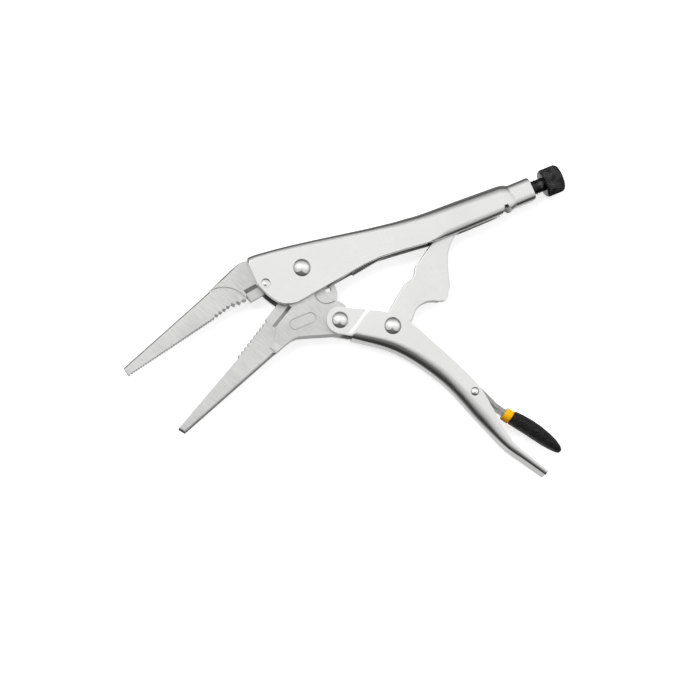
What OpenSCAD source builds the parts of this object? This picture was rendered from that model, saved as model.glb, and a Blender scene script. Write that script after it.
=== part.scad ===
// Long-nose locking pliers, lying on their side with the jaws open.
// Plan lengths are measured from the jaw pivot: +X runs along the fixed handle to the knob,
// +Y points from the movable side to the fixed side, and z = 0 is the middle of the tool.
// The finished part is then moved so that its origin is the bottom centre of its box.

/* [Sheet metal] */
// Thickness of the pressed steel sheet
sheet = 2; // [1.6:0.1:2.2]
// Outer width of the fixed handle
fixed_w = 12.9; // [12.7:0.1:13.3]
// Outer width of the movable handle behind its ears
movable_w = 14.2; // [13.8:0.1:14.8]
// Width of the movable handle's tail
tail_w = 12; // [10:0.5:13]

/* [Jaws] */
// Thickness of the movable jaw between the sheet walls
jaw_t = 8.5; // [8:0.1:8.6]
// Thickness of the jaws' central cutter web
web_t = 4.2; // [3:0.1:5]
// Thickness of the noses at their tips
tip_t = 3.6; // [2.5:0.1:5]
// Thickness of the noses where the milled flats end
root_t = 7.4; // [6:0.1:8]
// Pitch of the fine teeth
fine_pitch = 1.3; // [1:0.1:2]
// Depth of the fine teeth
fine_depth = 0.6; // [0.2:0.1:0.8]
// Pitch of the coarse teeth
coarse_pitch = 2.35; // [2:0.05:3]
// Depth of the coarse teeth
coarse_depth = 1.35; // [0.5:0.05:1.5]

/* [Pivots] */
// Radius of the jaw pivot's rivet shank
pivot_r = 3; // [2.5:0.1:3.3]
// Radius of the handle rivet's and the link rivet's shank
shank_r = 2.8; // [2.4:0.1:3.2]
// Radius of the lever rivet's shank
lever_shank_r = 1.5; // [1.2:0.1:1.7]
// Radius of the fixed jaw's small rivet
small_shank_r = 1.1; // [0.8:0.1:1.2]
// Radial running clearance of every rivet
running = 0.04; // [0.02:0.01:0.08]

/* [Toggle link] */
// Thickness of the toggle link
link_t = 4.4; // [3.6:0.1:4.8]
// Radius of the link's foot, which bears on the screw
foot_r = 4; // [3.5:0.1:4.2]

/* [Adjusting screw] */
// Radius of the screw
screw_r = 3.4; // [3:0.1:3.6]
// Radius of the knob
knob_r = 6.7; // [6:0.1:7.2]
// Length of the knob
knob_len = 9.3; // [8:0.1:12]

/* [Release lever] */
// Width of the lever's steel strip
lever_w = 8.4; // [7:0.1:9]
// Thickness of the lever's steel strip
lever_t = 2; // [1.5:0.1:2.4]
// Width of the dipped grip
grip_w = 12; // [10:0.5:13]

/* [Spring] */
// Outer radius of the return spring's coil
coil_r = 2.7; // [2.2:0.1:3]
// Radius of the spring's wire
wire_r = 0.4; // [0.3:0.05:0.5]

/* [Hidden] */

$fn = 48;
arc_n = 6;            // facets in each sheet bend
gap = 0.2;            // side clearance of what swings between sheet walls
over = 1;             // how far a cutting body runs past what it cuts

// Pivot centres in the plan
B = [6.4, -29.1];     // movable handle on movable jaw
C = [27.7, -41.0];    // toggle link on movable handle
D = [50.3, -83.6];    // release lever on movable handle
P = [74, -8.5];       // centre of the toggle link's foot
small_at = [-18.4, -0.3];
spring_hole = [7.9, -13.4];
spring_hole_r = 1.5;

screw_y = -6;         // height of the screw's axis in the plan
tip_gap = 1.6;        // room between the link's foot and the screw's tip
sink = 0.6;           // depth of the small rivet's sunk ends
sink_r = [1.6, 2.2];  // its radius at the bottom and at the sheet's face
screw_tip_x = P[0] + foot_r + tip_gap;
knob_x = 122.5;       // front face of the knob
collar_x = [105.8, 116.2];
collar_r = 5.5;

fixed_h = fixed_w / 2;
movable_h = movable_w / 2;
jaw_h = jaw_t / 2;
web_h = web_t / 2;
ear_in = jaw_h + gap;
ear_out = ear_in + sheet;
slot_h = link_t / 2 + 0.7;
head_h = [2, 1.9, 2, 1.1, 0.5];   // heights of the five rivets' heads
head_r = [4.2, 3.95, 4.1, 2.1, 1.3];

mid_z = movable_h + head_h[2];
box_x = [-93, knob_x + knob_len];
box_y = [-131.5, 14.2];

// Moves a body from the pivot's plan to the part's own frame.
module placed() {
    translate([-(box_x[0] + box_x[1]) / 2, -(box_y[0] + box_y[1]) / 2, mid_z]) children();
}

// ---- curves ---------------------------------------------------------------------------

function slope(t, i) = let (a = max(i - 1, 0), b = min(i + 1, len(t) - 1))
    (t[b][1] - t[a][1]) / (t[b][0] - t[a][0]);
function seg(t, x, i = 0) = i >= len(t) - 2 || x < t[i + 1][0] ? i : seg(t, x, i + 1);
// A smooth curve through the table t of [position, value] rows.
function smooth(t, x) = let (i = seg(t, x), w = t[i + 1][0] - t[i][0], u = (x - t[i][0]) / w)
    (2 * u ^ 3 - 3 * u ^ 2 + 1) * t[i][1] + (u ^ 3 - 2 * u ^ 2 + u) * w * slope(t, i)
    + (3 * u ^ 2 - 2 * u ^ 3) * t[i + 1][1] + (u ^ 3 - u ^ 2) * w * slope(t, i + 1);
function column(rows, k) = [for (i = [0:len(rows) - 1]) [i, rows[i][k]]];
function arc(c, r, a0, a1, n = arc_n) =
    [for (k = [0:n]) c + r * [cos(a0 + (a1 - a0) * k / n), sin(a0 + (a1 - a0) * k / n)]];
function unit(v) = v / norm(v);
function turned(p, a) = [p[0] * cos(a) - p[1] * sin(a), p[0] * sin(a) + p[1] * cos(a)];
// Teeth along the line from a to b: each pitch rises by depth towards the left of the line.
function teeth(a, b, pitch, depth) = let (n = round(norm(b - a) / pitch), s = (b - a) / n,
    up = turned(unit(b - a), 90) * depth)
    [for (i = [0:n - 1]) each [a + s * i, a + s * (i + 0.45) + up]];

// A closed solid through rings of points, all rings with the same number of points. The rings of
// a channel run out along its outside and back along its inside, and its ends are closed in strips.
module loft(rings, channel = false) {
    n = len(rings[0]);
    last = (len(rings) - 1) * n;
    strips = [for (i = [0:n / 2 - 2]) [i, i + 1, n - 2 - i, n - 1 - i]];
    front = channel ? [for (s = strips) [s[3], s[2], s[1], s[0]]] : [[for (i = [n - 1:-1:0]) i]];
    rear = channel ? [for (s = strips) [for (i = s) last + i]] : [[for (i = [0:n - 1]) last + i]];
    sides = [for (j = [0:n:last - n], i = [0:n - 1]) each let (a = j + i, b = j + (i + 1) % n)
        [[a, b, b + n], [a, b + n, a + n]]];
    polyhedron([for (r = rings) each r], concat(front, rear, sides));
}

// A plate about the middle plane, a pair of plates either side of it, and a bore through all.
module slab(h) {
    translate([0, 0, -h]) linear_extrude(2 * h) children();
}
module wall(z0, z1) {
    for (s = [0, 1]) mirror([0, 0, s]) translate([0, 0, z0]) linear_extrude(z1 - z0) children();
}
module bore(p, r) {
    translate([p[0], p[1], -movable_w]) cylinder(h = 2 * movable_w, r = r);
}

// The space above and below a part, beyond a line through p: profile gives, in rows of distance
// to the left of the line and height, the surface left behind. The cut is as long as len either way.
module shaved(p, dir, profile, len = 20) {
    n = len(profile) - 1;
    for (s = [0, 1]) mirror([0, 0, s]) translate([p[0], p[1], 0]) rotate([0, 0, dir])
        translate([-len, 0, 0]) rotate([90, 0, 90]) linear_extrude(2 * len)
            polygon(concat(profile, [[profile[n][0], movable_w], [profile[0][0], movable_w]]));
}

// ---- fixed handle ---------------------------------------------------------------------

fixed_top = [[-22, 12.6], [-21.2, 14.1], [-13.5, 13.7], [0, 11.9], [20, 8.5], [40, 5.1], [60, 2.7],
    [80, 2.1], [100, 1.3], [103, 0.95], [105, 0.3], [106, -0.45]];
fixed_bottom = [[-22, 0.6], [-20, -5], [-16.5, -10.8], [-13, -13], [-8.5, -14.1], [0, -13.1],
    [20, -10.6], [36, -9.3], [60, -11.8], [80, -12.3], [98, -12.2], [103, -12.1], [106, -11.5]];
fixed_x = [-22, -21.2, -20, -18.2, -16.5, -14.6, -13, -10.8, -8.5, -4, 0, 10, 20, 28, 36, 48, 60, 63,
    66, 70, 80, 98, 100.5, 102.5, 104, 105, 106];
function ramp(x, x0, x1, a, b) = a + (b - a) * min(max((x - x0) / (x1 - x0), 0), 1);
function top_bend(x) = ramp(x, 15, 90, 2.7, 5.4);
function bottom_bend(x) = ramp(x, 60, 70, 0.4, 3);
function fixed_half(x) = fixed_h - 0.9 * ramp(x, 98, 106, 0, 1) ^ 4;
// Rounded rectangle: y from y0 to y1, z from -h to h, with its own radius for each pair of corners.
function ring(x, y0, y1, h, r0, r1) = [for (p = concat(
        arc([y1 - r1, h - r1], r1, 90, 0), arc([y1 - r1, r1 - h], r1, 0, -90),
        arc([y0 + r0, r0 - h], r0, -90, -180), arc([y0 + r0, h - r0], r0, 180, 90))) [x, p[0], p[1]]];

// The space inside: open below as far as the screw's end, then closing to the screw's bore.
cavity_x = [-24, -10, 0, 10, 20, 36, 48, 60.5, 64.5, 80, 96, 100, 104];
close_x = [96, 104];
function cavity_top(x) = let (y = smooth(fixed_top, min(max(x, -20), close_x[0])) - sheet)
    ramp(x, close_x[0], close_x[1], y, screw_y + screw_r);
function cavity_bottom(x) = x < 62 ? -17
    : ramp(x, close_x[0], close_x[1], smooth(fixed_bottom, x) + sheet, screw_y - screw_r);
function cavity_half(x) = ramp(x, close_x[0], close_x[1], fixed_h - sheet, screw_r);

// The slot left between the inturned lips, with an oval mouth where it meets the collar.
module channel_slot() {
    outline = concat([[60, fixed_h - sheet], [68, slot_h], [97.6, slot_h]],
        [for (p = arc([100.6, 0], 1, 155, 0, 8)) [100.6 + 3.2 * (p[0] - 100.6), 6.8 * p[1]]]);
    translate([0, -9, 0]) rotate([90, 0, 0]) linear_extrude(8)
        polygon(concat(outline, [for (i = [len(outline) - 2:-1:0]) [outline[i][0], -outline[i][1]]]));
}

// The rolled end: a square with well rounded corners and a rounded rim, and the seam under it.
module collar() {
    corner = 3.2;
    rim = 0.8;
    seam_w = 0.5;
    seam_depth = 0.9;
    len = collar_x[1] - collar_x[0] + over;
    stations = [[0, 0], [len - rim, 0], [len - 0.3 * rim, 0.25 * rim], [len, rim]];
    translate([collar_x[0] - over, screw_y, 0]) difference() {
        loft([for (s = stations) let (r = collar_r - s[1], c = corner - s[1] / 2)
            ring(s[0], -r, r, r, c, c)]);
        translate([-over, -collar_r - over, -seam_w / 2])
            cube([len + 2 * over, seam_depth + over, seam_w]);
    }
}

// A small tab under the back that the rear end of the return spring hooks over.
module spring_tab() {
    translate([43.2, -6.3, -1]) cube([1.4, 10, 2]);
}

module fixed_handle() {
    color([0.80, 0.80, 0.79]) placed() difference() {
        union() {
            difference() {
                loft([for (x = fixed_x) ring(x, smooth(fixed_bottom, x), smooth(fixed_top, x),
                    fixed_half(x), bottom_bend(x), top_bend(x))]);
                loft([for (x = cavity_x) ring(x, cavity_bottom(x), cavity_top(x), cavity_half(x),
                    0.7, max(min(top_bend(x) - sheet, cavity_half(x) - 0.3), 0.6))]);
                channel_slot();
            }
            collar();
            spring_tab();
        }
        bore([0, 0], pivot_r + running);
        bore(small_at, small_shank_r + running);
        for (s = [0, 1]) mirror([0, 0, s]) translate([small_at[0], small_at[1], fixed_h - sink])
            cylinder(h = sink + 0.01, r1 = sink_r[0], r2 = sink_r[1]);
        translate([98, screw_y, 0]) rotate([0, 90, 0]) cylinder(h = 30, r = screw_r + running);
    }
}

// ---- jaws -----------------------------------------------------------------------------

hub_r = 9;
tang_clear = 0.5;
mill_r = 12.7;        // radius of the cutter that milled the noses' flats
step_run = 1.7;       // length of the slopes between the jaws' thick sides and the cutter web

// Full outline of the fixed jaw outside the handle, and its tang ahead of the moving hub.
module fixed_outline() {
    polygon(concat([[-93, -10.7], [-92.4, -14.8]],
        teeth([-91.4, -14.8], [-46, -5.7], fine_pitch, fine_depth),
        teeth([-46, -5.7], [-37.4, -3.6], coarse_pitch, coarse_depth),
        teeth([-37.4, -3.6], [-29.4, -4.1], coarse_pitch, coarse_depth),
        [[-29.2, -3.6], [-28.4, -0.9], [-21, 0], [-21, 11.6], [-22.2, 12], [-22.6, 13], [-24, 13.4],
         [-26.5, 13.1], [-30, 12], [-36, 9.7], [-44, 6.3]]));
}
module tang_outline() {
    difference() {
        polygon([[-22.5, 0.9], [-20.6, -2.9], [-16.8, -2.9], [-10.4, -0.65], [-8, 2], [-4, 9],
            [-12, 10.9], [-20, 11.4], [-22.5, 11.4]]);
        circle(hub_r + tang_clear);
    }
}
// The space of the two milling cuts on a nose: c is the cutter's last centre, and the flats
// fall from half thickness root to half thickness tip over the length that points along dir.
module mill_cuts(c, dir, len, root, tip) {
    for (s = [0, 1]) mirror([0, 0, s]) intersection() {
        linear_extrude(10) {
            translate(c) circle(mill_r);
            translate(c) rotate([0, 0, dir]) translate([0, -mill_r]) square([len, 2 * mill_r + 20]);
            translate(c) rotate([0, 0, dir]) translate([0, -mill_r - 20]) square([len, mill_r + 20]);
        }
        translate([c[0], c[1], 0]) rotate([0, 0, dir]) translate([0, 40, 0]) rotate([90, 0, 0])
            linear_extrude(80) polygon([[-mill_r - 1, root], [len, tip], [len, 9], [-mill_r - 1, 9]]);
    }
}
module fixed_jaw() {
    color([0.72, 0.73, 0.73]) placed() difference() {
        union() {
            difference() {
                slab(jaw_h) fixed_outline();
                mill_cuts([-41.5, -5.9], 192, 60, root_t / 2, tip_t / 2);
                shaved([-24.8, -0.5], 186.8, [[8, web_h], [0, web_h], [-step_run, jaw_h]], 3.7);
            }
            slab(fixed_h - sheet - 0.02) tang_outline();
            slab(web_h) polygon([[-28.8, 0.6], [-27.2, -5.0], [-20.3, -4.2], [-19.8, 1], [-22, 6]]);
        }
        bore(small_at, small_shank_r + running);
    }
}

relief_at = [6.4, -14.3];    // round relief about the spring's lug
relief_r = [5, 6];           // its radius at the web and at the jaw's face

// Movable jaw: thick cheek, hub, nose, and the thinner central web with its cutter and spring lug.
module cheek_outline() {
    union() {
            polygon(concat([[-79.4, -49.2], [-40, -36], [-28, -31.9], [-20, -29.3], [-16.6, -28.5],
                [-13.8, -28.6], [-6, -31.2], [2, -34], [4.6, -35]],
                arc(B, 5.9, -90, 40, 10),
                [[12, -23.9], [10.7, -21.7], [9.2, -20.1], [7.8, -19.3]],
                arc(relief_at, relief_r[0] - 0.5, 265, 185, 6),
                [[0.3, -8], [-8.6, -2], [-11.8, -13.1], [-23.7, -19.4], [-24.7, -16.9]],
                teeth([-24.9, -17.2], [-43, -27.3], coarse_pitch, -coarse_depth),
                teeth([-43, -27.3], [-81, -46.3], fine_pitch, -fine_depth),
                [[-81.4, -46.4]]));
        circle(hub_r);
    }
}
module web_outline() {
    polygon([[-24.3, -20.5], [-24.5, -15.0], [-16.2, -10.5], [-8.2, -3.8], [6, -6], [10.6, -9.6],
        [11.5, -13], [11.3, -16.3], [10.1, -18.8], [8.8, -20.6], [8, -26], [0, -24], [-16, -24]]);
}
// The oval panel sunk into each side, and the groove around it.
module oval(size) {
    run = size[0] - size[1];
    square([run, size[1]], center = true);
    for (i = [-1, 1]) translate([i * run / 2, 0]) circle(size[1] / 2);
}
module oval_recess() {
    size = [13.2, 5.4];
    groove_w = 0.55;
    for (s = [0, 1]) mirror([0, 0, s]) translate([-9.4, -22.8, jaw_h - 0.2]) {
        linear_extrude(over) oval(size);
        translate([0, 0, -0.5]) linear_extrude(over) difference() {
            oval(size);
            oval(size - 2 * [groove_w, groove_w]);
        }
    }
}
module movable_jaw() {
    color([0.72, 0.73, 0.73]) placed() difference() {
        union() {
            difference() {
                slab(jaw_h) cheek_outline();
                mill_cuts([-34.2, -16.9], 208, 60, root_t / 2, tip_t / 2);
                shaved([-17.7, -16.3], 27.9, [[8, web_h], [0, web_h], [-step_run, jaw_h]], 6.2);
                for (s = [0, 1]) mirror([0, 0, s]) translate([relief_at[0], relief_at[1], web_h])
                    cylinder(h = jaw_h - web_h + 0.05, r1 = relief_r[0], r2 = relief_r[1]);
            }
            slab(web_h) web_outline();
        }
        bore([0, 0], pivot_r + running);
        bore(B, shank_r + running);
        bore(spring_hole, spring_hole_r);
        oval_recess();
    }
}

// ---- movable handle -------------------------------------------------------------------

// Rows: outer back x and y, direction of the depth in degrees, depth of the side walls.
back_rows = [
    [8.4, -38.9, 53.6, 14.2], [13.1, -42.4, 53.4, 14.5], [19.2, -46.9, 50.8, 15.4],
    [25.1, -52.3, 43.4, 14.4], [30.6, -59.2, 35.6, 12.2], [35.2, -66.4, 30.6, 11],
    [39, -73.4, 26.4, 10.2], [41.8, -80, 21.2, 10.2], [44, -86.5, 18, 10],
    [46, -93, 18.4, 8.9], [48.2, -99, 20.8, 7.3], [50.8, -106, 21.8, 5.2],
    [54, -113.6, 28, 3.7], [58.2, -120.3, 33, 2.8], [61.4, -125.5, 32, 2.4],
    [65, -131.5, 30, 2.1]];
back_n = 30;          // lofted stations along the handle
function back_at(k) = [for (c = [0:3]) smooth(column(back_rows, c), k)];
function handle_half(k) = ramp(k, 8, 15, movable_h, tail_w / 2);
// Across the handle: out around the back with bend radius r, and back along the inside.
function u_section(d, h, r) = let (ri = max(r - sheet, 0.2)) concat(
    [[d, -h]], arc([r, r - h], r, 270, 180), arc([r, h - r], r, 180, 90), [[d, h], [d, h - sheet]],
    arc([sheet + ri, h - sheet - ri], ri, 90, 180), arc([sheet + ri, ri + sheet - h], ri, 180, 270),
    [[d, sheet - h]]);
function back_ring(k) = let (s = back_at(k), n = turned([1, 0], s[2]),
    r = min(ramp(k, 0, 6, 3, 5), 0.75 * s[3]))
    [for (p = u_section(s[3], handle_half(k), r)) [s[0] + n[0] * p[0], s[1] + n[1] * p[0], p[1]]];

// The two ears reach forward from the side walls and around the handle rivet.
ear_r = 6.25;
module ear_outline() {
    union() {
        translate(B) circle(ear_r);
        polygon([B + [-3, -5.4], [8.2, -37.6], [12.6, -38.6], [18.4, -33], [18.4, -28.7],
            [15.8, -27.6], B + [2.4, 5.7]]);
    }
}
// Behind the ears the sheet steps outwards along a slanting line.
joggle_at = [12.5, -33.3];
joggle_dir = 30.5;
joggle_w = 1.8;
module joggle_outline() {
    polygon([[7.6, -36.2], [9.5, -37.8], [14, -36], [15, -31.8]]);
}
module movable_handle() {
    color([0.80, 0.80, 0.79]) placed() difference() {
        union() {
            loft([for (i = [0:back_n]) back_ring(i * (len(back_rows) - 1) / back_n)], channel = true);
            wall(ear_in, ear_out) ear_outline();
            wall(movable_h - sheet, movable_h) joggle_outline();
        }
        shaved(joggle_at, joggle_dir, [[20, ear_out], [0, ear_out], [-joggle_w, movable_h]]);
        bore(B, shank_r + running);
        bore(C, shank_r + running);
        bore(D, lever_shank_r + running);
    }
}

// ---- rivets ---------------------------------------------------------------------------

// A domed rivet through walls whose outer faces lie at +face and -face.
module rivet(p, face, shank, k) {
    big = (head_r[k] ^ 2 + head_h[k] ^ 2) / (2 * head_h[k]);
    color([0.86, 0.86, 0.86]) placed() translate([p[0], p[1], 0]) {
        translate([0, 0, -face - 0.1]) cylinder(h = 2 * face + 0.2, r = shank);
        for (s = [0, 1]) mirror([0, 0, s]) translate([0, 0, face]) intersection() {
            translate([0, 0, head_h[k] - big]) sphere(big, $fn = 96);
            cylinder(h = head_h[k] + over, r = head_r[k] + over);
        }
    }
}
module jaw_pivot_rivet() { rivet([0, 0], fixed_h, pivot_r, 0); }
module handle_rivet() { rivet(B, ear_out, shank_r, 1); }
module link_rivet() { rivet(C, movable_h, shank_r, 2); }
module lever_rivet() { rivet(D, movable_h, lever_shank_r, 3); }
module fixed_jaw_rivet() { rivet(small_at, fixed_h - sink, small_shank_r, 4); }

// ---- toggle link ----------------------------------------------------------------------

lobe = [56.3, -36.1];
module link_outline() {
    polygon(concat(arc(C, 6, -36, -235, 10), [[30, -33.2], [41.6, -24.8]],
        arc([43.1, -18], 6.4, 270, 342, 6), [[50.2, -18.9], [51.6, -18.3], [59.5, -13.1]],
        arc(P, foot_r, 123, -98, 12),
        [[69.6, -15.7], [66.3, -19.8], [64.3, -24.4], [62.7, -29.3], [61, -34.2]],
        arc(lobe, 2.8, -14, -128, 6), arc([47.1, -46.4], 10, 55, 125, 6), [[38.4, -41.4]]));
}
module toggle_link() {
    color([0.76, 0.76, 0.75]) placed() difference() {
        slab(link_t / 2) link_outline();
        bore(C, shank_r + running);
    }
}

// ---- release lever --------------------------------------------------------------------

// Middle line of the lever's strip, from its front tip to the end inside the grip.
strip = [[44.3, -66.8], [48.4, -74], [52.4, -81], [54.4, -85.8], [57.2, -93], [61.3, -99.7], [65.6, -106],
    [69.6, -111.9], [73.4, -117.6]];
function strip_n(i) = turned(unit(strip[min(i + 1, len(strip) - 1)] - strip[max(i - 1, 0)]), 90);
module strip_outline() {
    e = lever_t / 2;
    polygon(concat([for (i = [0:len(strip) - 1]) strip[i] + e * strip_n(i)],
        [for (i = [len(strip) - 1:-1:0]) strip[i] - e * strip_n(i)]));
    translate(strip[0]) circle(e + 0.3);
}
module release_lever() {
    lug = 1.3;
    color([0.62, 0.62, 0.63]) placed() difference() {
        union() {
            slab(lever_w / 2) strip_outline();
            wall(lever_w / 2 - lug, lever_w / 2 + 0.4) {
                translate(D) circle(2.9);
                polygon([D + [-1.6, 3], [50.4, -77.6], [52.4, -81], [54.6, -85.6], [56, -89],
                    D + [0.6, -3.3]]);
            }
        }
        bore(D, lever_shank_r + running);
    }
}

// Grip rows: distance along the grip's axis, half thickness, half width, offset of the middle.
grip_from = [61.9, -100.5];
grip_dir = -56.3;
grip_rows = [[0, 2.9, 0.4, 0.4], [0.5, 3.3, 0.44, 0.4], [4, 3.5, 0.48, 0.7], [9, 3.6, 0.5, 0.9],
    [14, 3.55, 0.5, 0.8], [19, 3.2, 0.48, 0.5], [23, 2.6, 0.43, 0.2], [26, 1.8, 0.33, -0.2],
    [27.4, 0.9, 0.2, -0.4]];
collar_len = 3.8;
function oval_ring(c, a, b, n = 20) = [for (i = [0:n - 1]) let (t = -360 * i / n)
    [c[0], c[1] + a * cos(t), b * sin(t)]];
module along_grip() { translate([grip_from[0], grip_from[1], 0]) rotate([0, 0, grip_dir]) children(); }
module lever_slot() {
    slab(lever_w / 2) strip_outline();
}

module lever_grip() {
    color([0.06, 0.06, 0.06]) placed() difference() {
        along_grip() loft([for (r = grip_rows) oval_ring([r[0] + 0.6, r[3]], r[1], r[2] * grip_w)]);
        lever_slot();
    }
}
module lever_collar() {
    rows = [[-collar_len, 2.7, 0.4], [0.3 - collar_len, 3, 0.43], [-0.4, 3.1, 0.45], [0, 3, 0.44]];
    color([0.98, 0.70, 0.08]) placed() difference() {
        along_grip() loft([for (r = rows) oval_ring([r[0] + 0.4, 0], r[1], r[2] * grip_w)]);
        lever_slot();
    }
}

// ---- adjusting screw ------------------------------------------------------------------

module adjusting_screw() {
    color([0.10, 0.10, 0.10]) placed() translate([screw_tip_x, screw_y, 0]) rotate([0, 90, 0]) {
        cylinder(h = 1.2, r1 = screw_r - 1, r2 = screw_r);
        translate([0, 0, 1.2]) cylinder(h = knob_x - screw_tip_x - 1.2, r = screw_r);
    }
}
module adjusting_knob() {
    round_r = 1.8;
    color([0.08, 0.08, 0.08]) placed() translate([knob_x, screw_y, 0]) rotate([0, 90, 0]) {
        cylinder(h = 1.2, r1 = knob_r - 1.2, r2 = knob_r);
        translate([0, 0, 1.2]) cylinder(h = knob_len - 1.2 - round_r, r = knob_r);
        translate([0, 0, knob_len - round_r]) {
            rotate_extrude() intersection() {
                square([knob_r, round_r]);
                union() {
                    translate([knob_r - round_r, 0]) circle(round_r);
                    square([knob_r - round_r, round_r]);
                }
            }
        }
    }
}

// ---- return spring --------------------------------------------------------------------

coil_from = [20.9, -9.35, 0];
coil_dir = 8.5;
coil_len = 17;
hook_at = [13, -1.3];    // where the front wire ends, ahead of the coil and below its middle
module return_spring() {
    color([0.25, 0.25, 0.25]) placed() translate(coil_from) rotate([0, 0, coil_dir]) {
        rotate([0, 90, 0]) difference() {
            cylinder(h = coil_len, r = coil_r);
            translate([0, 0, 1]) cylinder(h = coil_len - 2, r = coil_r - 2 * wire_r);
        }
        translate([coil_len - 0.2, -0.4, 1.7]) rotate([0, 90, 0]) cylinder(h = 7.6, r = wire_r);
        translate([-hook_at[0], hook_at[1], web_h + 0.2 + wire_r]) {
            rotate([0, 90, 0]) cylinder(h = hook_at[0] + 0.2, r = wire_r);
            translate([0, 0, -web_h - wire_r]) cylinder(h = web_h + 2 * wire_r, r = wire_r);
        }
    }
}

fixed_handle();
fixed_jaw();
fixed_jaw_rivet();
jaw_pivot_rivet();
movable_jaw();
movable_handle();
handle_rivet();
link_rivet();
lever_rivet();
toggle_link();
release_lever();
lever_grip();
lever_collar();
adjusting_screw();
adjusting_knob();
return_spring();
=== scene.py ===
"""Long-nose locking pliers: the visible pieces, finishes, light and camera around the CAD frame."""

import math

import bmesh
import bpy
from mathutils import Matrix, Vector


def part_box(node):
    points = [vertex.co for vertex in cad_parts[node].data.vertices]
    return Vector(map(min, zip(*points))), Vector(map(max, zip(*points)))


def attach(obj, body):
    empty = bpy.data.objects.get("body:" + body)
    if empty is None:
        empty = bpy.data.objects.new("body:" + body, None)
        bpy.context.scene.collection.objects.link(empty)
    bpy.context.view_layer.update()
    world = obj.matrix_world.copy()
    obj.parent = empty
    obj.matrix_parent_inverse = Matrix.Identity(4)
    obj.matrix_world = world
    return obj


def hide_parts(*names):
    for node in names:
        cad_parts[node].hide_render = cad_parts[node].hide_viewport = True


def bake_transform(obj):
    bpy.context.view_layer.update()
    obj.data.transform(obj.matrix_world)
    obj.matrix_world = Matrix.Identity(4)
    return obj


MM = 0.001
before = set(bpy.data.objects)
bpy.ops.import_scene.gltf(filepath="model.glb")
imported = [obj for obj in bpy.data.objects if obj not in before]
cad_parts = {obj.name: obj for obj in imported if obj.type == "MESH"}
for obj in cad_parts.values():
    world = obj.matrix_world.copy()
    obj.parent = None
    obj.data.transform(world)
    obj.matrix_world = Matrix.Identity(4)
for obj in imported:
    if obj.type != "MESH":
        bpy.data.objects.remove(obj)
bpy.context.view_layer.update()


def centre(node):
    """Middle of a CAD node's box."""
    lo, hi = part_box(node)
    return (lo + hi) / 2


# ---- finishes -------------------------------------------------------------------------


def adder(tree):
    """A maker of nodes in a tree: links by input, then attributes or input values by name."""

    def add(kind, links=(), **values):
        node = tree.nodes.new(kind)
        for key, value in values.items():
            if hasattr(node, key):
                setattr(node, key, value)
            else:
                node.inputs[key.replace("_", " ")].default_value = value
        for socket, source in dict(links).items():
            if isinstance(socket, str):
                found = [k for k in node.inputs if k.name == socket and k.enabled]
                tree.links.new(source, found[0])
            else:
                tree.links.new(source, node.inputs[socket])
        return node

    return add


def nodes_of(name):
    """A new material with its tree, its main shader and a maker of nodes."""
    material = bpy.data.materials.new(name)
    material.use_nodes = True
    tree = material.node_tree
    return material, tree, tree.nodes["Principled BSDF"], adder(tree)


def noise(add, place, scale, detail=3.0, stretch=(1, 1, 1), turn=0.0):
    """A noise texture, stretched along axes that are turned about Z by turn degrees."""
    turned = add("ShaderNodeMapping", {"Vector": place}, Rotation=(0, 0, math.radians(-turn)))
    mapped = add("ShaderNodeMapping", {"Vector": turned.outputs[0]}, Scale=stretch)
    found = add("ShaderNodeTexNoise", {"Vector": mapped.outputs[0]}, Scale=scale, Detail=detail)
    return found.outputs["Fac"]


def spread(add, value, low, high, start=0.3, end=0.7, curve="LINEAR"):
    """value from start to end, mapped to low to high."""
    node = add("ShaderNodeMapRange", {"Value": value}, interpolation_type=curve)
    for key, number in zip(("From Min", "From Max", "To Min", "To Max"), (start, end, low, high)):
        node.inputs[key].default_value = number
    return node.outputs[0]


def shade(add, value, dark, light, start=0.3, end=0.7):
    """A colour between dark and light, as value goes from start to end."""
    ramp = add("ShaderNodeValToRGB", {"Fac": value})
    ramp.color_ramp.elements[0].position = start
    ramp.color_ramp.elements[1].position = end
    ramp.color_ramp.elements[0].color = (*dark, 1)
    ramp.color_ramp.elements[1].color = (*light, 1)
    return ramp.outputs["Color"]


PITS = 2600  # noise scale of the finest pits in plating
PLATING_DEPTH = 0.2 * MM


def metal(name, dark, light, rough, grain, turn=0, bump=0.1, lines=40, speckle=0.0, smudges=60):
    """Plated steel: faint smudges in colour and roughness, fine lines along turn and fine pits."""
    material, tree, shader, add = nodes_of(name)
    place = add("ShaderNodeTexCoord").outputs["Object"]
    smudge = noise(add, place, smudges, 3)
    brushed = noise(add, place, grain, 4, (1, lines, lines), turn)
    pits = noise(add, place, PITS, 2)
    shader.inputs["Metallic"].default_value = 1.0
    tone = add("ShaderNodeMath", {0: smudge, 1: brushed}, operation="ADD").outputs[0]
    even = spread(add, tone, 0.0, 1.0, 0.7, 1.3)
    tree.links.new(shade(add, even, dark, light, 0.0, 1.0), shader.inputs["Base Color"])
    tree.links.new(spread(add, even, rough[0], rough[1], 0.0, 1.0), shader.inputs["Roughness"])
    relief = add("ShaderNodeMix", {"A": brushed, "B": pits}, Factor=speckle).outputs[0]
    height = add("ShaderNodeBump", {"Height": relief}, Strength=bump, Distance=PLATING_DEPTH)
    tree.links.new(height.outputs[0], shader.inputs["Normal"])
    return material


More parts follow.
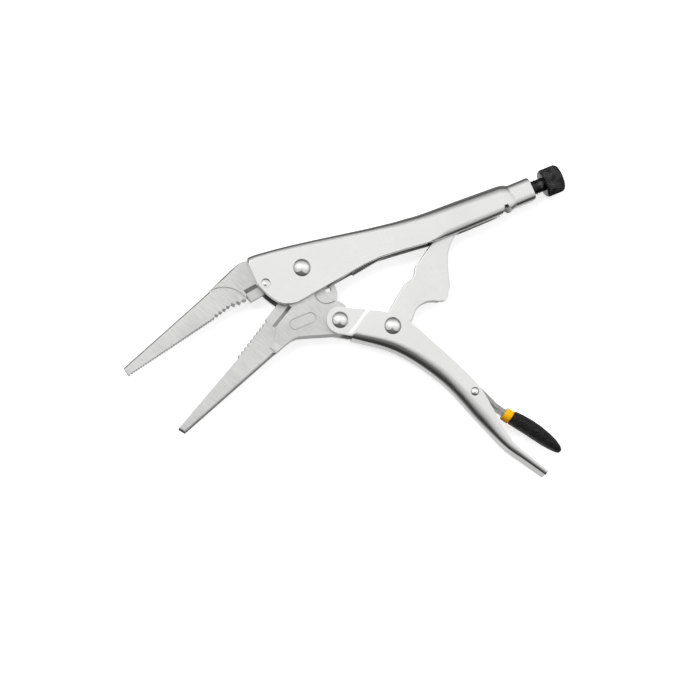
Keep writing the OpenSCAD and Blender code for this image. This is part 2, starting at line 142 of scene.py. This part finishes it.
def coated(name, dark, light, rough, scale, bump, gloss=0.5, metallic=0.0, deep=0.4):
    """Vinyl or an oxide skin: an uneven colour on a fine uneven surface."""
    material, tree, shader, add = nodes_of(name)
    place = add("ShaderNodeTexCoord").outputs["Object"]
    patches = noise(add, place, scale * 0.25, 4)
    bumps = noise(add, place, scale, 3)
    shader.inputs["Metallic"].default_value = metallic
    shader.inputs["Specular IOR Level"].default_value = gloss
    tree.links.new(shade(add, patches, dark, light), shader.inputs["Base Color"])
    tree.links.new(spread(add, bumps, rough[0], rough[1]), shader.inputs["Roughness"])
    height = add("ShaderNodeBump", {"Height": bumps}, Strength=bump, Distance=deep * MM)
    tree.links.new(height.outputs[0], shader.inputs["Normal"])
    return material


def grey(dark, light):
    """Two near-neutral metal colours."""
    return [(tone, tone, 0.99 * tone) for tone in (dark, light)]


FINISHES = {
    "handle": metal(
        "satin_nickel", *grey(0.73, 0.79), rough=(0.20, 0.28), grain=300, turn=5, bump=0.06,
        lines=12, speckle=0.55, smudges=25,
    ),
    "jaw": metal(
        "ground_nickel", *grey(0.52, 0.77), rough=(0.34, 0.50), grain=160, turn=-62, bump=0.8,
        lines=16, speckle=0.35,
    ),
    "link": metal(
        "plain_nickel", *grey(0.72, 0.83), rough=(0.3, 0.4), grain=380, turn=40, lines=10,
        speckle=0.5,
    ),
    "rivet": metal(
        "bright_plate", *grey(0.92, 0.96), rough=(0.06, 0.11), grain=300, bump=0.02, lines=2,
        speckle=0.5,
    ),
    "lever": metal(
        "lever_steel", *grey(0.25, 0.41), rough=(0.2, 0.35), grain=300, turn=-57, lines=12,
        speckle=0.3,
    ),
    "spring": metal(
        "spring_wire", *grey(0.5, 0.66), rough=(0.2, 0.3), grain=900, lines=1, speckle=0.5
    ),
    "black": coated(
        "black_oxide", *grey(0.022, 0.1), rough=(0.1, 0.2), scale=1800, bump=0.2, metallic=1.0
    ),
    "grip": coated(
        "dipped_vinyl", *grey(0.004, 0.014), rough=(0.25, 0.45), scale=900, bump=1.0, gloss=0.35,
        deep=1.4,
    ),
    "collar": coated(
        "yellow_vinyl", (1.0, 0.36, 0.0), (1.0, 0.56, 0.0), rough=(0.45, 0.6), scale=500,
        bump=0.1, gloss=0.15,
    ),
}


# ---- meshes ---------------------------------------------------------------------------

CORNER = math.radians(32)  # a sharper fold is a corner and not part of a bend
FLAT = math.radians(0.6)  # a slighter fold is part of a flat face
WELD = 2e-6  # closer points are one
SPECK = 1e-6  # shorter edges go


def placed(mesh, name):
    """An object in the scene made from a bmesh, which is freed."""
    data = bpy.data.meshes.new(name)
    mesh.to_mesh(data)
    mesh.free()
    piece = bpy.data.objects.new(name, data)
    bpy.context.scene.collection.objects.link(piece)
    return piece


def clean_copy(node):
    """The CAD node's mesh as a welded bmesh without its flat faces' triangles."""
    mesh = bmesh.new()
    mesh.from_mesh(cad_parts[node].data)
    bmesh.ops.remove_doubles(mesh, verts=mesh.verts, dist=WELD)
    bmesh.ops.dissolve_degenerate(mesh, dist=SPECK, edges=mesh.edges)
    bmesh.ops.dissolve_limit(
        mesh, angle_limit=FLAT, verts=mesh.verts, edges=mesh.edges, delimit=set()
    )
    return mesh


def folds(edge):
    """Whether an edge is a corner and not part of a bend."""
    return len(edge.link_faces) == 2 and edge.calc_face_angle(0) > CORNER


def upright(edge):
    """Whether an edge runs nearly along Z."""
    a, b = (v.co for v in edge.verts)
    return abs(a.z - b.z) > 0.9 * (a - b).length


def roomy(edge, width):
    """Whether every edge that meets this one is long enough for corners rounded by width."""
    return all(e.calc_length() > 2.1 * width for v in edge.verts for e in v.link_edges)


def outer_edge(side, ahead):
    """Picks a nose's outer edges, from ahead of the pivot on: side is 1 above and -1 below."""
    pivot = centre("jaw_pivot_rivet")

    def picked(edge):
        a, b = (v.co for v in edge.verts)
        outward = any(f.normal.y * side > 0.35 and abs(f.normal.z) < 0.5 for f in edge.link_faces)
        flat = abs(edge.link_faces[0].normal.z) + abs(edge.link_faces[1].normal.z) > 0.9
        return outward and flat and not upright(edge) and max(a.x, b.x) < pivot.x - ahead

    return picked


def round_edges(mesh, edges, width, segments, clamp=True):
    """Rounds edges of the mesh by width."""
    bmesh.ops.bevel(
        mesh, geom=list(edges), offset=width, offset_type="OFFSET", segments=segments,
        profile=0.5, affect="EDGES", clamp_overlap=clamp, miter_outer="ARC", loop_slide=True,
    )


def bevelled(node, name, width, wide=None, wide_width=0.0):
    """A CAD node's copy, with wide's edges rounded by wide_width and then its corners by width."""
    mesh = clean_copy(node)
    if wide:
        picked = [e for e in mesh.edges if folds(e) and wide(e)]
        round_edges(mesh, picked, wide_width, segments=5, clamp=False)
    corners = [e for e in mesh.edges if folds(e) and roomy(e, width)]
    round_edges(mesh, corners, width, segments=2)
    for face in mesh.faces:
        face.smooth = True
    for edge in mesh.edges:
        edge.smooth = not folds(edge)
    piece = placed(mesh, name)
    even = piece.modifiers.new("even", "WEIGHTED_NORMAL")
    even.keep_sharp = True
    return piece


def smoothed(node, name):
    """A dipped piece: the CAD's own loft with its surface made smooth."""
    mesh = clean_copy(node)
    for face in mesh.faces:
        face.smooth = True
    return placed(mesh, name)


def from_grid(name, rows):
    """A smooth tube with flat ends through rings of points, each ring with the same number."""
    mesh = bmesh.new()
    rings = [[mesh.verts.new(p) for p in row] for row in rows]
    count = len(rows[0])
    for a, b in zip(rings, rings[1:]):
        for i in range(count):
            j = (i + 1) % count
            mesh.faces.new((a[i], a[j], b[j], b[i]))
    mesh.faces.new(reversed(rings[0]))
    mesh.faces.new(rings[-1])
    bmesh.ops.recalc_face_normals(mesh, faces=mesh.faces)
    for face in mesh.faces:
        face.smooth = len(face.verts) == 4
    return placed(mesh, name)


# ---- screw and knob -------------------------------------------------------------------

THREAD_PITCH = 1.25 * MM
THREAD_DEPTH = 0.55 * MM
THREAD_FADE = 0.6 * MM  # length over which the thread runs out
TIP_CHAMFER = 1.0 * MM
SHOULDER = 2.2 * MM  # plain length between the thread and the knob
SHOULDER_STEP = 0.15 * MM
SHAFT_SIDES = 48
RINGS_PER_PITCH = 8

KNURLS = 34
KNURL_DEPTH = 0.55 * MM
KNURL_SLOPE = math.tan(math.radians(32))
KNURL_START = 1.0 * MM
KNOB_FACE = 4.4 * MM  # radius of the flat middle of the front face
KNOB_ROUND = 1.8 * MM
KNOB_STEP = 0.2 * MM
ROUND_STEPS = 8
# The front ring: distance along and inset from the rim in mm, and share of the knurl's depth.
KNOB_FRONT = ((0.0, 1.0, 0.0), (0.12, 0.7, 0.0), (0.5, 0.35, 0.0), (0.8, 0.1, 0.2))


def ridge(phase):
    """A triangle wave from 0 to 1 and back."""
    return 1 - abs(2 * (phase % 1.0) - 1)


def around_x(axis, x, radius_at, count):
    """A ring about the axis at x, its radius given for each angle."""
    points = []
    for i in range(count):
        a = 2 * math.pi * i / count
        r = radius_at(a)
        points.append(Vector((x, axis.y + r * math.cos(a), axis.z + r * math.sin(a))))
    return points


def screw_shaft():
    """The adjusting screw with its thread, chamfered tip and plain shoulder."""
    lo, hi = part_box("adjusting_screw")
    axis = centre("adjusting_screw")
    radius = (hi.y - lo.y) / 2
    steps = int((hi.x - lo.x) / (THREAD_PITCH / RINGS_PER_PITCH))
    rows = []
    for k in range(steps + 1):
        x = lo.x + (hi.x - lo.x) * k / steps
        fade = min(1.0, max(0.0, (hi.x - SHOULDER - x) / THREAD_FADE))
        tip = min(radius, radius - TIP_CHAMFER + (x - lo.x))

        def thread(a, x=x, fade=fade, tip=tip):
            wave = min(1.0, 1.35 * ridge((x - lo.x) / THREAD_PITCH - a / (2 * math.pi)))
            return min(tip, radius - SHOULDER_STEP * (1 - fade) - THREAD_DEPTH * fade * (1 - wave))

        rows.append(around_x(axis, x, thread, SHAFT_SIDES))
    return from_grid("screw_shaft", rows)


def knob():
    """The knurled adjusting knob with its plain front ring and rounded far end."""
    lo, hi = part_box("adjusting_knob")
    axis = centre("adjusting_knob")
    radius = (hi.y - lo.y) / 2
    stop = hi.x - lo.x - KNOB_ROUND
    rows = [(0.0, KNOB_FACE, 0.0)]
    rows += [(along * MM, radius - inset * MM, share) for along, inset, share in KNOB_FRONT]
    count = int((stop - KNURL_START) / KNOB_STEP)
    for i in range(count + 1):
        rows.append((KNURL_START + (stop - KNURL_START) * i / count, radius, 1.0))
    for i in range(1, ROUND_STEPS + 1):
        a = math.pi / 2 * i / ROUND_STEPS
        r = radius - KNOB_ROUND * (1 - math.cos(a))
        rows.append((stop + KNOB_ROUND * math.sin(a), r, (ROUND_STEPS - i) / ROUND_STEPS))
    pitch = 2 * math.pi * radius / KNURLS
    grid = []
    for along, r, share in rows:

        def knurled(a, along=along, r=r, share=share):
            turn, lead = KNURLS * a / (2 * math.pi), along * KNURL_SLOPE / pitch
            valley = 1 - min(1.0, 1.2 * min(ridge(turn + lead), ridge(turn - lead)))
            return r - KNURL_DEPTH * share * valley

        grid.append(around_x(axis, lo.x + along, knurled, KNURLS * 8))
    return from_grid("knob", grid)


# ---- spring ---------------------------------------------------------------------------

SPRING_FRONT = Vector((20.9 * MM, -9.35 * MM, 0))  # from the jaw's pivot to the coil's front
SPRING_TURN = Matrix.Rotation(math.radians(8.5), 3, "Z")
COIL_LENGTH = 17 * MM
COIL_RADIUS = 2.7 * MM
COIL_PITCH = 1.06 * MM
COIL_STEPS = 20  # points in a turn
WIRE = 0.4 * MM
WIRE_SIDES = 8
HOOK_REACH = 13.0 * MM
HOOK_DROP = 1.3 * MM
# The front hook's bend: distance back from its reach and down from the coil's top, in mm.
HOOK_BEND = ((0.0, 2.6), (0.0, 0.6), (0.25, 0.12))
ROD_STEPS = 10  # points of the straight wire between the front hook and the coil
TAIL_STEPS = 7  # points of the straight wire behind the coil
TAIL_STEP = 1.0 * MM
TAIL_GAP = 0.8 * MM
TAIL_HEIGHT = 1.7 * MM  # above the spring's axis


def tube_along(name, path, radius, sides):
    """A round wire along a path of points."""
    rows = []
    up = Vector((0.0, 0.0, 1.0))
    for i, p in enumerate(path):
        ahead = (path[min(i + 1, len(path) - 1)] - path[max(i - 1, 0)]).normalized()
        side = ahead.cross(up)
        side = side.normalized() if side.length > 1e-6 else Vector((1, 0, 0))
        up = side.cross(ahead).normalized()
        angles = [2 * math.pi * k / sides for k in range(sides)]
        rows.append([p + radius * (math.cos(t) * side + math.sin(t) * up) for t in angles])
    return from_grid(name, rows)


def coil():
    """The points of the spring's turns, along X from the coil's front."""
    turns = COIL_LENGTH / COIL_PITCH
    steps = int(turns * COIL_STEPS)
    r = COIL_RADIUS - WIRE
    points = []
    for k in range(steps + 1):
        a = 2 * math.pi * turns * k / steps
        x = WIRE + (COIL_LENGTH - 2 * WIRE) * k / steps
        points.append(Vector((x, -r * math.sin(a), r * math.cos(a))))
    return points


def return_spring():
    """The extension spring, and two points on its line: the coil's front and the jaw's lug."""
    front = centre("jaw_pivot_rivet") + SPRING_FRONT
    hook = front + SPRING_TURN @ Vector((-HOOK_REACH, -HOOK_DROP, 0))
    path = []
    for back, down in HOOK_BEND:
        path.append(Vector((-HOOK_REACH + back * MM, -HOOK_DROP, COIL_RADIUS - down * MM)))
    for k in range(1, ROD_STEPS):
        x, y = -HOOK_REACH * (1 - k / ROD_STEPS), -HOOK_DROP * (1 - 0.5 * k / ROD_STEPS)
        path.append(Vector((x, y, COIL_RADIUS)))
    path += coil()
    end = path[-1]
    for k in range(TAIL_STEPS):
        x = COIL_LENGTH + TAIL_GAP + k * TAIL_STEP
        path.append(Vector((x, end.y * (1 - k / TAIL_STEPS), TAIL_HEIGHT)))
    path = [front + SPRING_TURN @ p for p in path]
    return tube_along("return_spring_coil", path, WIRE, WIRE_SIDES), front, hook


# ---- pieces ---------------------------------------------------------------------------

NOSE_ROUND = 1.4 * MM  # rounding along a nose's outer edges

# CAD node: piece, body, finish, slot, rounding in mm, and the picker of a nose's outer edges.
PLATES = {
    "fixed_handle": ("handle_shell", "frame", "handle", "handle_plate", 0.3, None),
    "movable_handle": ("handle_channel", "handle", "handle", "handle_plate", 0.35, None),
    "fixed_jaw": ("upper_jaw", "frame", "jaw", "jaw_steel", 0.3, outer_edge(1, 26.2 * MM)),
    "movable_jaw": ("lower_jaw", "jaw", "jaw", "jaw_steel", 0.3, outer_edge(-1, 26.6 * MM)),
    "toggle_link": ("link_plate", "link", "link", "link_steel", 0.6, None),
    "release_lever": ("lever_strip", "lever", "lever", "lever_steel", 0.25, None),
}
RIVET_ROUND = 0.12 * MM
RIVETS = {
    "fixed_jaw_rivet": "frame",
    "jaw_pivot_rivet": "frame",
    "handle_rivet": "handle",
    "link_rivet": "handle",
    "lever_rivet": "handle",
}
# CAD node: piece, finish and slot.
DIPPED = {
    "lever_grip": ("grip_skin", "grip", "grip_vinyl"),
    "lever_collar": ("collar_ring", "collar", "collar_vinyl"),
}


def finish(piece, body, node, kind):
    """Gives a piece its finish and its body, and hides the CAD node it stands for."""
    piece.data.materials.clear()
    piece.data.materials.append(FINISHES[kind])
    if body:
        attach(piece, body)
    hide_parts(node)


def build_pieces():
    """Every visible piece, each in place of its CAD node."""
    for node, (name, body, kind, slot, width, wide) in PLATES.items():
        finish(bevelled(node, name, width * MM, wide, NOSE_ROUND), body, node, kind)
    for node, body in RIVETS.items():
        finish(bevelled(node, node + "_dome", RIVET_ROUND), body, node, "rivet")
    finish(screw_shaft(), "screw", "adjusting_screw", "black")
    finish(knob(), "knob", "adjusting_knob", "black")
    for node, (name, kind, slot) in DIPPED.items():
        finish(smoothed(node, name), "lever", node, kind)
    spring, front, hook = return_spring()
    finish(spring, None, "return_spring", "spring")
    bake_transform(spring)


# ---- floor, light and camera ----------------------------------------------------------

LAMP = Vector((-0.25, 0.45, 0.9))  # from the tool to the soft lamp, in metres
LAMP_GLOW = (1.0, 2.0, 0.92, 0.985)  # brightness low and high, and the glow's edge and middle
GAP = (-0.485, -0.875, 0.0)  # level direction of the tent's dark opening
GAP_EDGE = 0.42  # how closely a level direction has to face the opening to be in it
GAP_NARROWING = 0.62  # and how much more closely with height
GAP_TONE = 0.25
GAP_BLUR = (-0.07, 0.10)  # where its edge begins and ends
# Stops of a place from -1 to 1 and a grey: TENT by height, SIDES by how closely GAP is faced.
TENT = (
    (-1.0, 1.0), (-0.93, 0.85), (-0.8, 0.45), (-0.3, 0.25), (0.0, 0.12),
    (0.15, 0.42), (0.32, 0.7), (0.55, 0.88), (0.80, 0.94), (1.0, 0.97),
)
SIDES = (
    (-1.0, 0.45), (-0.85, 0.60), (-0.55, 0.90), (-0.32, 0.99), (-0.1, 0.90),
    (0.1, 0.76), (0.5, 0.6),
)
SKY_STRENGTH = 1.15

FLOOR_HALF = 3.0
WALL_RADIUS = 2.9
WALL_HEIGHT = 6.0


def pale(mesh, name, glow):
    """A pale matt object of the stage that shines a little itself. Metal doesn't mirror it."""
    piece = placed(mesh, name)
    material, tree, shader, add = nodes_of("pale_" + name)
    place = add("ShaderNodeTexCoord").outputs["Object"]
    tone = shade(add, noise(add, place, 3, 2), (0.82, 0.82, 0.82), (0.85, 0.85, 0.85))
    tree.links.new(tone, shader.inputs["Base Color"])
    shader.inputs["Roughness"].default_value = 0.9
    shader.inputs["Emission Color"].default_value = (1, 1, 1, 1)
    shader.inputs["Emission Strength"].default_value = glow
    piece.data.materials.append(material)
    piece.visible_glossy = False
    return piece


def floor():
    """A plain pale floor, and a pale wall round it that lights nothing."""
    mesh = bmesh.new()
    bmesh.ops.create_grid(mesh, x_segments=1, y_segments=1, size=FLOOR_HALF)
    pale(mesh, "floor", glow=0.6)
    mesh = bmesh.new()
    bmesh.ops.create_cone(
        mesh, segments=96, radius1=WALL_RADIUS, radius2=WALL_RADIUS, depth=WALL_HEIGHT
    )
    wall = pale(mesh, "backdrop", glow=1.0)
    wall.visible_diffuse = False
    wall.visible_shadow = False


def tones(add, value, stops):
    """Greys along value, which goes from -1 to 1."""
    ramp = add("ShaderNodeValToRGB", {"Fac": spread(add, value, 0, 1, -1, 1)})
    while len(ramp.color_ramp.elements) < len(stops):
        ramp.color_ramp.elements.new(0.5)
    for element, (place, tone) in zip(ramp.color_ramp.elements, stops):
        element.position = (place + 1) / 2
        element.color = (tone, tone, tone, 1)
    return ramp.outputs["Color"]


def towards(add, way, direction):
    """How closely way faces a direction, from -1 to 1."""
    node = add("ShaderNodeVectorMath", {0: way}, operation="DOT_PRODUCT")
    node.inputs[1].default_value = direction
    return node.outputs["Value"]


def product(add, a, b):
    """Two values multiplied."""
    return add("ShaderNodeMath", {0: a, 1: b}, operation="MULTIPLY").outputs[0]


def opening(add, way, height):
    """The dark wedge towards GAP, which narrows with the height above and below the horizon."""
    level = add("ShaderNodeVectorMath", {0: way}, operation="MULTIPLY")
    level.inputs[1].default_value = (1, 1, 0)
    level = add("ShaderNodeVectorMath", {0: level.outputs[0]}, operation="NORMALIZE")
    away = add("ShaderNodeMath", {0: height}, operation="ABSOLUTE").outputs[0]
    narrow = add("ShaderNodeMath", {0: away}, operation="MULTIPLY_ADD")
    narrow.inputs[1].default_value = GAP_NARROWING
    narrow.inputs[2].default_value = GAP_EDGE
    facing = towards(add, level.outputs[0], GAP)
    inside = add("ShaderNodeMath", {0: facing, 1: narrow.outputs[0]}, operation="SUBTRACT")
    return spread(add, inside.outputs[0], 1.0, GAP_TONE, *GAP_BLUR, "SMOOTHSTEP")


def surroundings():
    """A bright tent with a dark horizon and the lamp's glow, and a dark wedge towards GAP."""
    world = bpy.data.worlds.new("studio")
    bpy.context.scene.world = world
    world.use_nodes = True
    add = adder(world.node_tree)
    way = add("ShaderNodeTexCoord").outputs["Generated"]
    height = add("ShaderNodeSeparateXYZ", {"Vector": way}).outputs["Z"]
    falling = tones(add, towards(add, way, GAP), SIDES)
    both = product(add, opening(add, way, height), falling)
    both = product(add, both, spread(add, towards(add, way, LAMP.normalized()), *LAMP_GLOW))
    parts = {"A": tones(add, height, TENT), "B": both}
    tint = add("ShaderNodeMix", parts, data_type="RGBA", blend_type="MULTIPLY")
    tint.inputs["Factor"].default_value = 1.0
    back = world.node_tree.nodes["Background"]
    world.node_tree.links.new(tint.outputs["Result"], back.inputs["Color"])
    back.inputs["Strength"].default_value = SKY_STRENGTH


def soft_light(name, place, size, power):
    """A round area light over the tool, facing it. Metal doesn't mirror it."""
    data = bpy.data.lights.new(name, "AREA")
    data.shape = "DISK"
    data.size = size
    data.energy = power
    lamp = bpy.data.objects.new(name, data)
    bpy.context.scene.collection.objects.link(lamp)
    lamp.location = place
    lamp.visible_glossy = False
    lamp.rotation_euler = place.to_track_quat("Z", "Y").to_euler()


CAMERA_PLACE = Vector((-0.24323, -0.11167, 1.17975))
CAMERA_AIM = Vector((-0.01568, 0.02171, 0.0091))
CAMERA_UP = Vector((0.37890, 0.90832, 0.17714))
CAMERA_LENS = 138.1
CAMERA_SENSOR = 36


def camera():
    """The view of the photograph: from above, a little from the front left."""
    data = bpy.data.cameras.new("camera")
    data.lens = CAMERA_LENS
    data.sensor_width = CAMERA_SENSOR
    eye = bpy.data.objects.new("camera", data)
    bpy.context.scene.collection.objects.link(eye)
    back = (CAMERA_PLACE - CAMERA_AIM).normalized()
    right = CAMERA_UP.cross(back).normalized()
    turned = Matrix((right, back.cross(right), back)).transposed()
    eye.matrix_world = Matrix.Translation(CAMERA_PLACE) @ turned.to_4x4()
    bpy.context.scene.camera = eye


build_pieces()
floor()
surroundings()
soft_light("key", LAMP, size=0.5, power=4.0)
camera()
bpy.context.scene.view_settings.view_transform = "Standard"
